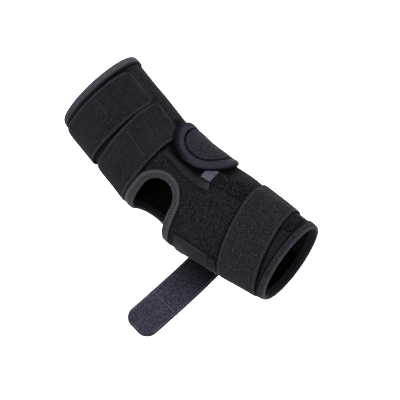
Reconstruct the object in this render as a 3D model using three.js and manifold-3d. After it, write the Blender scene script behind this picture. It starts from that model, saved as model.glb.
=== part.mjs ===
// Elbow brace, worn on a slightly bent arm: an open-ended sleeve of brushed cloth with bound cuffs,
// a round-ended hole at the point of the elbow, three closed straps, one open strap and a padded
// hinge cover.
// Millimetres and degrees. The origin is the middle of the arm at the elbow. +X runs towards the wrist,
// +Z towards the inside of the elbow and -Y out of the side that carries the hinge cover.
//
// A place on the brace is given in three numbers. "along" is the distance from the elbow along the arm,
// negative towards the shoulder. "round" is the angle about the arm, 0 at the hinge side and 90 at the
// inside of the elbow. "off" is the distance off the sleeve's cloth.

import * as THREE from 'three';
import { mergeVertices } from 'three/addons/utils/BufferGeometryUtils.js';
import Module from 'manifold-3d';

// Arm and sleeve
const bendAngle = 18; // between the upper arm and the forearm
const bendLength = 64; // stretch of the sleeve that takes the bend
const upperCuffWidth = 104; // outside, seen from the hinge side
const elbowWidth = 107;
const forearmWidth = 111; // where the forearm is fullest
const forearmCuffWidth = 97;
const upperCuffSlant = -3; // how far an edge moves along the arm from its middle to the top
const forearmCuffSlant = 2;
const upperCuffSkew = 3.5; // and how far from the hinge side towards the shoulder
const flatness = 0.94; // depth of a section as a share of its width
const sleeveWall = 3;

// Clearances
const gap = 0.35; // between cloth and what lies on it
const coverGap = 0.65; // under the stiff hinge cover, which follows the cloth less closely
const edgeGap = 0.8; // between two pieces that lie side by side

// Bindings
const bindingWall = 1.1;
const upperBindingWidth = 10;
const forearmBindingWidth = 8.5;
const holeBindingWidth = 8.2;

// Hole at the point of the elbow
const holeLength = 40; // along the arm, and so twice the radius of its round ends
const holeReach = 111; // round the arm
const holeShift = 2.2; // its middle, along the arm
const holeRound = -58; // its middle, round the arm

// Straps
const strapThickness = 2.2;
const upperStrapWidth = 47.5;
const lowerStrapWidth = 47.5;
const forearmStrapWidth = 47.5;
const strapSpacing = 5; // between the two upper straps, at the back of the elbow
const upperStrapSlant = 1.5; // how far each runs along the arm from the back to its end
const lowerStrapSlant = 5.5;
const forearmStrapSlant = 12;
const strapCorner = 6; // corner radius of a strap's free end
const upperStrapEnd = 53; // where the free end lies, round the arm
const lowerStrapEnd = 57;
const hiddenStart = -235; // where the two upper straps are sewn on, round the arm
const forearmStrapFrom = -188;
const forearmStrapTo = 122;

// Open strap
const openStrapWidth = 39.5;
const openStrapRoot = -212; // where it is sewn on, round the arm
const openStrapExit = -155; // where it leaves the sleeve
const openStrapLength = 145; // free length
const openStrapForward = 0.46; // lean of the free end towards the hinge side, as a share of its drop
const openStrapTip = 14; // corner radius of its end
const openStrapSettle = 0.4; // how slowly it turns from the sleeve's direction to its own
const openStrapInset = 3.5; // from the front of the small tab

// Splint pocket on the upper arm and the coarse patch on the forearm
const pocketThickness = 1.5;
const pocketFrom = 25;
const pocketTo = 59;
const patchThickness = 1.5;
const patchBackEdge = 43.5;
const patchStart = { from: 31, to: 49 }; // round the arm, at the elbow end
const patchEnd = { from: 38, to: 73 }; // round the arm, at the cuff

// Hinge cover, hinge pad below it and the flat gusset between the pad and the coarse patch
const coverAlong = 1;
const coverRound = 77;
const coverHalfLength = 47;
const coverHalfReach = 38.5;
const coverSquareness = 2.3; // 2 is a plain ellipse
const coverSpace = 3.5; // between the cover and the lower strap's end
const coverRise = 6; // at the middle
const coverShoulder = 4.6; // where the middle meets the rim
const rimWidth = 8.5;
const rimRise = 3.8;
const padThickness = 2.4;
const padFrom = 19.5; // lower edge, round the arm
const padReach = 10.6; // from there to its upper edge, round the arm
const padFront = 48; // its lower corner towards the wrist, along the arm
const padSlant = 4; // its upper corner is this much nearer the elbow
const gussetBack = 30; // where it comes out from under the cover, along the arm
const gussetThickness = 1.2;

// Root patch and small tab at the back of the forearm
const rootPatchLength = 44;
const rootPatchFrom = -103;
const rootPatchTo = -44;
const rootThickness = 1.2;
const tabLength = 8.7;
const tabFrom = -100;
const tabTo = -46;
const rootSpace = 7.5; // sleeve left bare between the hole's binding and the patch
const tabSpace = 4.5; // and between the tab and the forearm strap

// Facets
const roundStep = 7.5; // degrees round the arm
const alongSteps = 20; // along the whole sleeve
const holeEndSteps = 12; // round each end of the hole
const holeSideSteps = 10; // down each side of it
const coverSteps = 36;
const padSteps = 11; // along the hinge pad

// Lengths that follow from the pieces laid side by side along the arm
const holeBack = holeShift - holeLength / 2;
const holeFront = holeShift + holeLength / 2;
const lowerStrapAt = { to: holeBack - holeBindingWidth - edgeGap };
lowerStrapAt.from = lowerStrapAt.to - lowerStrapWidth;
const upperStrapAt = { to: lowerStrapAt.from - strapSpacing };
upperStrapAt.from = upperStrapAt.to - upperStrapWidth;
const upperRimRoom = Math.hypot(upperCuffSlant, upperCuffSkew) - upperCuffSkew;
const upperEdge = upperStrapAt.from - edgeGap - upperBindingWidth - upperRimRoom;
const rootPatchAt = { from: holeFront + holeBindingWidth + rootSpace };
rootPatchAt.to = rootPatchAt.from + rootPatchLength;
const tabAt = { from: rootPatchAt.to + edgeGap };
tabAt.to = tabAt.from + tabLength;
const forearmStrapBack = tabAt.to + tabSpace;
const forearmStrapFront = forearmStrapBack + forearmStrapWidth;
const forearmEdge = forearmStrapFront + edgeGap + forearmBindingWidth + forearmCuffSlant;

// Widths of the sleeve. "at" is a share of its length on that side of the elbow,
// and "share" belongs to the named width beside it.
const widths = [
  { at: -1.0, share: 1.0, of: upperCuffWidth },
  { at: -0.58, share: 1.02, of: upperCuffWidth },
  { at: -0.25, share: 0.99, of: elbowWidth },
  { at: 0.0, share: 1.0, of: elbowWidth },
  { at: 0.33, share: 1.0, of: forearmWidth },
  { at: 0.65, share: 0.945, of: forearmWidth },
  { at: 0.85, share: 1.025, of: forearmCuffWidth },
  { at: 1.0, share: 1.0, of: forearmCuffWidth },
];

// Lower edge of the hinge pad. "at" is a share of its run from the strap to its front end,
// and "rise" is in degrees above padFrom.
const padEdge = [
  { at: 0.0, rise: 0.5 },
  { at: 0.2, rise: 2.2 },
  { at: 0.5, rise: 0.2 },
  { at: 0.82, rise: -1.2 },
  { at: 1.0, rise: 1.2 },
];

const radians = THREE.MathUtils.degToRad;
const clamp = THREE.MathUtils.clamp;
const smooth = (x, from, to) => THREE.MathUtils.smoothstep(x, from, to);
const mix = THREE.MathUtils.lerp;

// Value at x of a smooth curve through a table's rows, each read by the two functions given
function curveThrough(table, place, value, x) {
  const last = table.length - 1;
  let i = 0;
  while (i < last - 1 && place(table[i + 1]) < x) i += 1;
  const slope = (k) => {
    const low = table[Math.max(k - 1, 0)];
    const high = table[Math.min(k + 1, last)];
    return (value(high) - value(low)) / (place(high) - place(low));
  };
  const span = place(table[i + 1]) - place(table[i]);
  const t = clamp((x - place(table[i])) / span, 0, 1);
  const rise = value(table[i + 1]) - value(table[i]);
  const start = slope(i) * span;
  const end = slope(i + 1) * span;
  return value(table[i]) + t * (start + t * (3 * rise - 2 * start - end + t * (start + end - 2 * rise)));
}

function widthAt(along) {
  const at = along < 0 ? -along / upperEdge : along / forearmEdge;
  return curveThrough(widths, (row) => row.at, (row) => row.share * row.of, at);
}

// The arm's axis: two straight runs joined by an arc
const bendRadius = bendLength / radians(bendAngle);

function axisAt(along) {
  const inBend = clamp(along, -bendLength / 2, bendLength / 2);
  const tilt = inBend / bendRadius;
  const beyond = along - inBend;
  const x = bendRadius * Math.sin(tilt) + beyond * Math.cos(tilt);
  const z = bendRadius * (1 - Math.cos(tilt)) + beyond * Math.sin(tilt);
  return { x, z, tilt };
}

function point({ along, round, off }) {
  const { x, z, tilt } = axisAt(along);
  const half = widthAt(along) / 2;
  const up = (half + off) * Math.sin(radians(round));
  const out = (half * flatness + off) * Math.cos(radians(round));
  return new THREE.Vector3(x - up * Math.sin(tilt), -out, z + up * Math.cos(tilt));
}

// Ends of the sleeve at a place round the arm
const upperRim = (round) => upperEdge + upperCuffSlant * Math.sin(radians(round))
  - upperCuffSkew * (1 - Math.cos(radians(round)));
const forearmRim = (round) => forearmEdge + forearmCuffSlant * Math.sin(radians(round));

// Degrees round the arm that a length on the sleeve takes at the elbow
const degreesOf = (length) => THREE.MathUtils.radToDeg(length / (elbowWidth * (1 + flatness) / 4));

// Stations from one value to another, with whole steps between them
function stations(from, to, step) {
  const list = [from];
  for (let x = Math.ceil(from / step) * step; x < to; x += step) {
    if (x - from > step * 0.3 && to - x > step * 0.3) list.push(x);
  }
  list.push(to);
  return list;
}

const evenly = (from, to, count) =>
  Array.from({ length: count + 1 }, (_, i) => mix(from, to, i / count));

// A closed body from its points and triangles, turned so that its faces point out
function bodyFrom(points, triangles) {
  let volume = 0;
  for (const [a, b, c] of triangles) {
    volume += points[a].dot(new THREE.Vector3().crossVectors(points[b], points[c]));
  }
  const turned = volume < 0 ? triangles.map(([a, b, c]) => [a, c, b]) : triangles;
  const geometry = new THREE.BufferGeometry().setFromPoints(points);
  geometry.setIndex(turned.flat());
  return geometry;
}

// A sheet with thickness over rows and columns: spot(i, j) gives its place and its two faces,
// low and high off the sleeve, or both points themselves
function sheet(rows, columns, spot, loops = false) {
  const points = [];
  for (let i = 0; i < rows; i += 1) {
    for (let j = 0; j < columns; j += 1) {
      const { low, high } = spot(i, j);
      points.push(low, high);
    }
  }
  const index = (i, j, side) => 2 * ((i % rows) * columns + j) + side;
  const triangles = [];
  const quad = (a, b, c, d) => triangles.push([a, b, c], [a, c, d]);
  const lastRow = loops ? rows : rows - 1;
  for (let i = 0; i < lastRow; i += 1) {
    for (let j = 0; j < columns - 1; j += 1) {
      quad(index(i, j, 1), index(i, j + 1, 1), index(i + 1, j + 1, 1), index(i + 1, j, 1));
      quad(index(i, j, 0), index(i + 1, j, 0), index(i + 1, j + 1, 0), index(i, j + 1, 0));
    }
    quad(index(i, 0, 0), index(i, 0, 1), index(i + 1, 0, 1), index(i + 1, 0, 0));
    const j = columns - 1;
    quad(index(i, j, 0), index(i + 1, j, 0), index(i + 1, j, 1), index(i, j, 1));
  }
  if (!loops) {
    for (let j = 0; j < columns - 1; j += 1) {
      const i = rows - 1;
      quad(index(0, j, 0), index(0, j + 1, 0), index(0, j + 1, 1), index(0, j, 1));
      quad(index(i, j, 0), index(i, j, 1), index(i, j + 1, 1), index(i, j + 1, 0));
    }
  }
  return bodyFrom(points, triangles);
}

// Both faces of a sheet that lies on the sleeve
const layer = (along, round, low, high) => ({
  low: point({ along, round, off: low }),
  high: point({ along, round, off: high }),
});

// A closed ring with the same section at each step
function hoop(steps, sectionAt) {
  const loops = Array.from({ length: steps }, (_, i) => sectionAt(i));
  const count = loops[0].length;
  const triangles = [];
  for (let i = 0; i < steps; i += 1) {
    for (let j = 0; j < count; j += 1) {
      const next = ((i + 1) % steps) * count;
      const k = (j + 1) % count;
      const [a, b, c, d] = [i * count + j, i * count + k, next + k, next + j];
      triangles.push([a, b, c], [a, c, d]);
    }
  }
  return bodyFrom(loops.flat(), triangles);
}

// The section of a binding folded over the sleeve's edge. "inward" starts at the binding's own edge.
function bindingSection(width) {
  const under = -sleeveWall - gap;
  const corner = 0.6 * bindingWall;
  return [
    { inward: width, off: gap },
    { inward: width, off: gap + bindingWall },
    { inward: corner, off: gap + 0.8 * bindingWall },
    { inward: 0, off: -sleeveWall / 2 },
    { inward: corner, off: under - 0.8 * bindingWall },
    { inward: width, off: under - bindingWall },
    { inward: width, off: under },
    { inward: bindingWall + gap, off: under },
    { inward: bindingWall + gap, off: gap },
  ];
}

const roundSteps = Math.round(360 / roundStep);
const cutBack = bindingWall + 2 * gap; // the cloth stops inside its binding

// Outline of the hole, a slot with round ends: "end" is 1 at the upper end and -1 at the lower one
const holeTrack = [1, -1].flatMap((end) => {
  const turn = end > 0 ? 0 : Math.PI;
  const round = Array.from({ length: holeEndSteps }, (_, i) =>
    ({ angle: turn + (Math.PI * i) / holeEndSteps, end }));
  const side = Array.from({ length: holeSideSteps }, (_, i) =>
    ({ angle: turn + Math.PI, end: end * (1 - (2 * i) / holeSideSteps) }));
  return [...round, ...side];
});
const holeSteps = holeTrack.length;

function holePoint(step, outward) {
  const { angle, end } = holeTrack[step];
  const radius = holeLength / 2;
  const up = end * (holeReach / 2 - radius) + (radius + outward) * Math.sin(angle);
  return {
    along: holeShift + (radius + outward) * Math.cos(angle),
    round: holeRound + degreesOf(up),
  };
}

const manifold = await Module();
manifold.setup();

function toManifold(geometry) {
  const merged = mergeVertices(geometry, 1e-4);
  return new manifold.Manifold(new manifold.Mesh({
    numProp: 3,
    vertProperties: merged.attributes.position.array,
    triVerts: new Uint32Array(merged.index.array),
  }));
}

function fromManifold(shape) {
  const { vertProperties, triVerts } = shape.getMesh();
  const geometry = new THREE.BufferGeometry();
  geometry.setAttribute('position', new THREE.BufferAttribute(new Float32Array(vertProperties), 3));
  geometry.setIndex(new THREE.BufferAttribute(new Uint32Array(triVerts), 1));
  return geometry;
}

// A wedge that reaches from inside the arm to outside the sleeve, with the hole's outline.
// It has a level just inside and just outside the cloth, so that its wall follows the binding there.
function holeWedge() {
  const reach = 0.45 * elbowWidth;
  const depths = [-reach / 2, -sleeveWall - 1, 1, reach];
  const points = [];
  for (let step = 0; step < holeSteps; step += 1) {
    const spot = holePoint(step, cutBack);
    depths.forEach((off) => points.push(point({ ...spot, off })));
  }
  const levels = depths.length;
  [depths[0], depths[levels - 1]].forEach((off) =>
    points.push(point({ along: holeShift, round: holeRound, off })));
  const triangles = [];
  const inner = levels * holeSteps;
  for (let i = 0; i < holeSteps; i += 1) {
    const [a, b] = [levels * i, levels * ((i + 1) % holeSteps)];
    for (let k = 0; k < levels - 1; k += 1) {
      triangles.push([a + k, b + k, b + k + 1], [a + k, b + k + 1, a + k + 1]);
    }
    triangles.push([a, inner, b], [a + levels - 1, b + levels - 1, inner + 1]);
  }
  return bodyFrom(points, triangles);
}

function sleeve() {
  const tube = sheet(roundSteps, alongSteps + 1, (i, j) => {
    const round = i * roundStep;
    const back = upperRim(round) + cutBack;
    const front = forearmRim(round) - cutBack;
    return layer(mix(back, front, j / alongSteps), round, -sleeveWall, 0);
  }, true);
  return fromManifold(toManifold(tube).subtract(toManifold(holeWedge())));
}

function cuffBinding(rim, width, inwards) {
  const section = bindingSection(width);
  return hoop(roundSteps, (i) => section.map(({ inward, off }) =>
    point({ along: rim(i * roundStep) + inwards * inward, round: i * roundStep, off })));
}

function holeBinding() {
  const section = bindingSection(holeBindingWidth);
  return hoop(holeSteps, (i) => section.map(({ inward, off }) =>
    point({ ...holePoint(i, inward), off })));
}

// Outline of the hinge cover, as shares of its own size from its middle
function coverSpot(angle, share) {
  const bend = (x) => Math.sign(x) * Math.abs(x) ** (2 / coverSquareness);
  return {
    along: coverAlong + coverHalfLength * share * bend(Math.cos(angle)),
    round: coverRound + degreesOf(coverHalfReach * share * bend(Math.sin(angle))),
  };
}

// What the outline leaves of one half size at a share of the other
const coverLeft = (share) =>
  (1 - Math.min(Math.abs(share), 1) ** coverSquareness) ** (1 / coverSquareness);

// Edge of the cover towards the shoulder at a place round the arm
function coverBack(round, space) {
  const share = (round - coverRound) / degreesOf(coverHalfReach + space);
  return coverAlong - (coverHalfLength + space) * coverLeft(share);
}

// Lower edge of the cover at a place along the arm
function coverLow(along, space) {
  const share = (along - coverAlong) / (coverHalfLength + space);
  return coverRound - degreesOf(coverHalfReach + space) * coverLeft(share);
}

// How far a strap is pushed up by the pocket or the patch that it crosses
const bankWidth = 7;
const bankEnd = 0.8;

// The two upper straps run square round the back of the arm and lean towards the shoulder in front
const slantFrom = -30;
const slantTo = 40;

function upperLift(round) {
  return (pocketThickness + gap) * smooth(round, pocketFrom - bankWidth, pocketFrom - bankEnd);
}

// How much of a strap's width is left near its free end, where the corners are rounded
function cornerInset(distance, corner) {
  const t = clamp(1 - distance / corner, 0, 1);
  return corner * (1 - Math.sqrt(1 - t * t));
}

// "trim" gives the furthest place along the arm that the strap may reach at a place round it
function upperArmStrap(at, slant, end, trim) {
  const rounds = [
    ...stations(hiddenStart, pocketFrom - bankWidth, roundStep),
    pocketFrom - bankEnd,
    ...stations(pocketFrom + roundStep / 2, end - degreesOf(strapCorner), roundStep),
    ...[0.6, 0.25, 0].map((share) => end - degreesOf(strapCorner * share)),
  ];
  const columns = 3;
  return sheet(rounds.length, columns + 1, (i, j) => {
    const round = rounds[i];
    const inset = cornerInset((end - round) / degreesOf(1), strapCorner);
    const shift = slant * smooth(round, slantFrom, slantTo);
    const back = at.from - shift + inset;
    const front = Math.min(at.to - shift, trim(round)) - inset;
    const low = gap + upperLift(round);
    return layer(mix(back, front, j / columns), round, low, low + strapThickness);
  });
}

// Lower and upper edge of the coarse patch, round the arm
const patchFrontEdge = forearmEdge - forearmBindingWidth - edgeGap;

function patchEdges(along) {
  const t = (along - patchBackEdge) / (patchFrontEdge - patchBackEdge);
  return { from: mix(patchStart.from, patchEnd.from, t), to: mix(patchStart.to, patchEnd.to, t) };
}

function forearmStrap() {
  const below = stations(forearmStrapFrom, patchStart.from - 1.5 * roundStep, roundStep);
  const above = stations(patchEnd.to + 1.5 * roundStep, forearmStrapTo, roundStep);
  const onPatch = [0.02, 0.22, 0.42, 0.62, 0.82, 0.98];
  const toPatch = [0.5, 1];
  const fromPatch = [0, 0.33, 0.67];
  const raisedFrom = below.length + toPatch.length;
  const raisedTo = raisedFrom + onPatch.length + 2;
  const rows = raisedTo + fromPatch.length + above.length;
  const columns = 4;
  const middleAt = (round) => {
    const share = (1 + Math.sin(radians(clamp(round, -90, 90)))) / 2;
    return forearmStrapBack + forearmStrapWidth / 2 - forearmStrapSlant * share;
  };
  return sheet(rows, columns + 1, (i, j) => {
    const across = (j / columns - 0.5) * forearmStrapWidth;
    const { from, to } = patchEdges(middleAt(patchStart.from) + across);
    const rounds = [
      ...below,
      ...toPatch.map((share) => mix(below.at(-1), from - bankWidth, share)),
      from - bankEnd,
      ...onPatch.map((share) => mix(from, to, share)),
      to + bankEnd,
      ...fromPatch.map((share) => mix(to + bankWidth, above[0], share)),
      ...above,
    ];
    const raised = i >= raisedFrom && i < raisedTo;
    const low = gap + (raised ? patchThickness + gap : 0);
    return layer(middleAt(rounds[i]) + across, rounds[i], low, low + strapThickness);
  });
}

// The open strap lies on the sleeve from its seam, leaves it at a tangent and hangs free
function openStrap() {
  const exitAlong = tabAt.to - openStrapInset - openStrapWidth / 2;
  const onSleeve = stations(openStrapRoot, openStrapExit, roundStep);
  const start = point({ along: exitAlong, round: openStrapExit, off: gap });
  const before = point({ along: exitAlong, round: openStrapExit - 1, off: gap });
  const leaving = start.clone().sub(before).normalize();
  const dropTo = new THREE.Vector3(0, -openStrapForward, -1).normalize();
  const free = [0.06, 0.2, 0.4, 0.6, 0.8, 0.92, 0.97, 1];
  const columns = 4;
  const fibre = (share) => {
    const d = share * openStrapLength;
    const settling = (1 - share) * openStrapSettle;
    const dropped = start.clone().addScaledVector(dropTo, d * (1 - settling));
    return dropped.addScaledVector(leaving, d * settling);
  };
  const tip = openStrapTip / openStrapLength;
  return sheet(onSleeve.length + free.length, columns + 1, (i, j) => {
    const across = (j / columns - 0.5) * openStrapWidth;
    if (i < onSleeve.length) {
      return layer(exitAlong + across, onSleeve[i], gap, gap + strapThickness);
    }
    const share = free[i - onSleeve.length];
    const inset = cornerInset((1 - share) * openStrapLength, openStrapTip);
    const middle = fibre(share);
    const down = fibre(share + 0.01).sub(fibre(share - 0.01)).normalize();
    const tilt = axisAt(exitAlong).tilt * (1 - smooth(share, 0, 0.5));
    const side = new THREE.Vector3(Math.cos(tilt), 0, Math.sin(tilt));
    side.addScaledVector(down, -side.dot(down)).normalize();
    const face = new THREE.Vector3().crossVectors(side, down).normalize();
    const low = middle.clone().addScaledVector(side, across * (1 - (2 * inset) / openStrapWidth));
    return { low, high: low.clone().addScaledVector(face, strapThickness) };
  });
}

function pocket() {
  const rounds = stations(pocketFrom, pocketTo, roundStep);
  const columns = 7;
  return sheet(rounds.length, columns + 1, (i, j) => {
    const to = Math.min(lowerStrapAt.to - lowerStrapSlant, coverBack(rounds[i], edgeGap));
    const along = mix(upperStrapAt.from, to, j / columns);
    return layer(along, rounds[i], gap, gap + pocketThickness);
  });
}

function coarsePatch() {
  const alongs = evenly(patchBackEdge, patchFrontEdge, 10);
  const columns = 5;
  return sheet(columns + 1, alongs.length, (i, j) => {
    const { from, to } = patchEdges(alongs[j]);
    return layer(alongs[j], mix(from, to, i / columns), gap, gap + patchThickness);
  });
}

// Upper edge of the pad: it stays clear of the cover's wall
const padTop = (along) => Math.min(coverLow(along, edgeGap), padFrom + padReach);

function hingePad() {
  const back = lowerStrapAt.to + edgeGap;
  const columns = 4;
  return sheet(padSteps + 1, columns + 1, (i, j) => {
    const at = i / padSteps;
    const across = j / columns;
    const along = mix(back, padFront - padSlant * across, at);
    const from = padFrom + curveThrough(padEdge, (row) => row.at, (row) => row.rise, at);
    return layer(along, mix(from, padTop(along), across), gap, gap + padThickness);
  });
}

function hingeGusset() {
  const columns = 3;
  const alongs = evenly(gussetBack, patchBackEdge - edgeGap, columns);
  return sheet(alongs.length, columns + 1, (i, j) => {
    const from = padTop(alongs[i]) + degreesOf(edgeGap);
    const to = Math.min(coverLow(alongs[i], edgeGap), patchStart.to);
    return layer(alongs[i], mix(from, to, j / columns), gap, gap + gussetThickness);
  });
}

function hingeCover() {
  const rimShare = 1 - (rimWidth + edgeGap) / coverHalfReach;
  const shares = [1, 0.8, 0.55, 0.28].map((share) => share * rimShare);
  const points = [];
  const high = (share) => mix(coverRise, coverShoulder, (share / rimShare) ** 2);
  shares.forEach((share) => {
    for (let i = 0; i < coverSteps; i += 1) {
      const spot = coverSpot((2 * Math.PI * i) / coverSteps, share);
      const { low: a, high: b } = layer(spot.along, spot.round, coverGap, coverGap + high(share));
      points.push(a, b);
    }
  });
  const middle = layer(coverAlong, coverRound, coverGap, coverGap + coverRise);
  points.push(middle.low, middle.high);
  const index = (ring, i, side) => 2 * (ring * coverSteps + (i % coverSteps)) + side;
  const centre = points.length - 2;
  const triangles = [];
  const quad = (a, b, c, d) => triangles.push([a, b, c], [a, c, d]);
  for (let i = 0; i < coverSteps; i += 1) {
    const k = i + 1;
    quad(index(0, i, 0), index(0, k, 0), index(0, k, 1), index(0, i, 1));
    for (let ring = 0; ring < shares.length - 1; ring += 1) {
      quad(index(ring, i, 1), index(ring, k, 1), index(ring + 1, k, 1), index(ring + 1, i, 1));
      quad(index(ring, i, 0), index(ring + 1, i, 0), index(ring + 1, k, 0), index(ring, k, 0));
    }
    const ring = shares.length - 1;
    triangles.push([index(ring, i, 1), index(ring, k, 1), centre + 1]);
    triangles.push([index(ring, k, 0), index(ring, i, 0), centre]);
  }
  return bodyFrom(points, triangles);
}

function hingeCoverRim() {
  const inner = 1 - rimWidth / coverHalfReach;
  const section = [
    { share: inner, off: 0 },
    { share: inner, off: rimRise },
    { share: mix(inner, 1, 0.55), off: rimRise },
    { share: 1, off: rimRise * 0.6 },
    { share: 1, off: 0 },
  ];
  return hoop(coverSteps, (i) => section.map(({ share, off }) =>
    point({ ...coverSpot((2 * Math.PI * i) / coverSteps, share), off: coverGap + off })));
}

function flatPatch(at, from, to) {
  const alongs = evenly(at.from, at.to, Math.max(2, Math.round((at.to - at.from) / 10)));
  const rounds = stations(from, to, roundStep);
  return sheet(rounds.length, alongs.length, (i, j) =>
    layer(alongs[j], rounds[i], gap, gap + rootThickness));
}

// Finishes
const finish = (color, roughness) => new THREE.MeshStandardMaterial({ color, roughness, metalness: 0 });
const fleece = () => finish(0x1d1e21, 0.95);
const smoothStrap = () => finish(0x222327, 0.9);
const bindingCloth = () => finish(0x2b2e35, 0.8);
const coarseCloth = () => finish(0x111214, 1.0);
const padCloth = () => finish(0x1a1a1e, 0.7);

const brace = new THREE.Group();

function add(name, geometry, material) {
  const mesh = new THREE.Mesh(geometry, material);
  mesh.name = name;
  brace.add(mesh);
}

add('sleeve', sleeve(), fleece());
add('upper_cuff_binding', cuffBinding(upperRim, upperBindingWidth, 1), bindingCloth());
add('forearm_cuff_binding', cuffBinding(forearmRim, forearmBindingWidth, -1), bindingCloth());
add('elbow_hole_binding', holeBinding(), bindingCloth());
add('splint_pocket', pocket(), padCloth());
add('coarse_patch', coarsePatch(), coarseCloth());
add('hinge_pad', hingePad(), padCloth());
add('hinge_gusset', hingeGusset(), padCloth());
add('hinge_cover', hingeCover(), fleece());
add('hinge_cover_rim', hingeCoverRim(), bindingCloth());
const besideCover = (round) => coverBack(round, coverSpace);
const upperStrap = upperArmStrap(upperStrapAt, upperStrapSlant, upperStrapEnd, () => 0);
const lowerStrap = upperArmStrap(lowerStrapAt, lowerStrapSlant, lowerStrapEnd, besideCover);
add('upper_strap', upperStrap, smoothStrap());
add('lower_strap', lowerStrap, smoothStrap());
add('forearm_strap', forearmStrap(), smoothStrap());
add('open_strap', openStrap(), smoothStrap());
add('strap_root_patch', flatPatch(rootPatchAt, rootPatchFrom, rootPatchTo), padCloth());
add('root_tab', flatPatch(tabAt, tabFrom, tabTo), bindingCloth());

export default brace;
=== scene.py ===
import bpy
import bmesh
import math
from mathutils import Matrix, Vector, noise


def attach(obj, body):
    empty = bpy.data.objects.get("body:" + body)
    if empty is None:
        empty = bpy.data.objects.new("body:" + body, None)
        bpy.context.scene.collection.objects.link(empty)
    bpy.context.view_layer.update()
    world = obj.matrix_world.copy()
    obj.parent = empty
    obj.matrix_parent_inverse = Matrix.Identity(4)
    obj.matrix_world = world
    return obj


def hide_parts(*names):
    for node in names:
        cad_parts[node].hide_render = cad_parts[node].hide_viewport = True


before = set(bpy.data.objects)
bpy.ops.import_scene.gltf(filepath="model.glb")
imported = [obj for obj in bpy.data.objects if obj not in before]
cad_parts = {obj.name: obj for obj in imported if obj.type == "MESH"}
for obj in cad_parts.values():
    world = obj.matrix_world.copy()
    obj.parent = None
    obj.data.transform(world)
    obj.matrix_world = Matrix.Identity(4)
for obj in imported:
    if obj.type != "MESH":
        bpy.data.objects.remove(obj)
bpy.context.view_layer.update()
bpy.ops.object.select_all(action="DESELECT")
print("stage: frame loaded")

# A place on the brace has three numbers: along it from the bend (mm), round it (degrees, 0 at the hinge
# side, 90 at the inside of the bend) and off the sleeve's cloth (mm). Finished meshes are in metres.
brace = {
    "bendAngle": 18.0,
    "bendLength": 64.0,
    "flatness": 0.94,  # depth of a section as a share of its width
    "middleWidth": 107.0,
    "shoulderEnd": -138.7,
    "wristEnd": 154.7,
    "shoulderSlant": -3.0,  # how far an end leans along the brace from its middle to the top
    "shoulderSkew": 3.5,  # and from the hinge side to the far side
    "wristSlant": 2.0,
    "widths": [(-1.0, 104.0), (-0.58, 106.1), (-0.25, 105.9), (0.0, 107.0),
               (0.33, 111.0), (0.65, 104.9), (0.85, 99.4), (1.0, 97.0)],
    "wave": 0.45,  # height of the soft unevenness of all the cloth
    "waveLength": 30.0,
    "clearance": 0.35,  # between the sleeve and what lies on it
    "crispAngle": 50.0,  # edges sharper than this stay crisp
}
mmPerDegree = math.radians(brace["middleWidth"] * (1 + brace["flatness"]) / 4)
bendRadius = brace["bendLength"] / math.radians(brace["bendAngle"])
crispAngle = math.radians(brace["crispAngle"])
clearance = brace["clearance"]


def clamp(x, low=0.0, high=1.0):
    return max(low, min(high, x))


def mix(a, b, t):
    return a + (b - a) * t


def smooth(x, low, high):
    t = clamp((x - low) / (high - low))
    return t * t * (3 - 2 * t)


def bell(x, width):
    return math.exp(-((x / width) ** 2))


def curveThrough(rows, x):
    last = len(rows) - 1
    i = 0
    while i < last - 1 and rows[i + 1][0] < x:
        i += 1

    def slope(k):
        low, high = rows[max(k - 1, 0)], rows[min(k + 1, last)]
        return (high[1] - low[1]) / (high[0] - low[0])

    span = rows[i + 1][0] - rows[i][0]
    t = clamp((x - rows[i][0]) / span)
    rise = rows[i + 1][1] - rows[i][1]
    start, end = slope(i) * span, slope(i + 1) * span
    return rows[i][1] + t * (start + t * (3 * rise - 2 * start - end + t * (start + end - 2 * rise)))


def widthAt(along):
    share = -along / brace["shoulderEnd"] if along < 0 else along / brace["wristEnd"]
    return curveThrough(brace["widths"], share)


def axisAt(along):
    half = brace["bendLength"] / 2
    inBend = clamp(along, -half, half)
    tilt = inBend / bendRadius
    beyond = along - inBend
    x = bendRadius * math.sin(tilt) + beyond * math.cos(tilt)
    z = bendRadius * (1 - math.cos(tilt)) + beyond * math.sin(tilt)
    return x, z, tilt


# Folds of the sleeve and what lies on it: place, reach along and round it, turn, height
folds = [
    {"along": 34, "round": -84, "reach": (3.0, 22), "turn": 6, "height": 1.1},
    {"along": 44, "round": -92, "reach": (3.0, 18), "turn": -4, "height": 0.9},
    {"along": 56, "round": 16, "reach": (9, 3.2), "turn": 24, "height": 0.7},
    {"along": 58, "round": 7, "reach": (8, 3.0), "turn": -18, "height": -0.6},
    {"along": -22, "round": 120, "reach": (3.5, 20), "turn": 0, "height": 0.9},
    {"along": 12, "round": 132, "reach": (3.5, 24), "turn": 5, "height": 1.0},
    {"along": 34, "round": 128, "reach": (4, 20), "turn": -6, "height": 0.8},
    {"along": -104, "round": 80, "reach": (14, 5), "turn": 10, "height": 0.6},
    {"along": 70, "round": 88, "reach": (16, 5), "turn": -8, "height": 0.7},
    {"along": -124, "round": -86, "reach": (24, 42), "turn": 0, "height": 1.3},  # the end stands off here
]


def foldHeight(along, turn):
    height = 0.0
    for fold in folds:
        a = along - fold["along"]
        r = ((turn - fold["round"] + 180) % 360 - 180) * mmPerDegree
        c, s = math.cos(math.radians(fold["turn"])), math.sin(math.radians(fold["turn"]))
        a, r = a * c + r * s, r * c - a * s
        height += fold["height"] * bell(a, fold["reach"][0]) * bell(r, fold["reach"][1])
    return height


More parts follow.
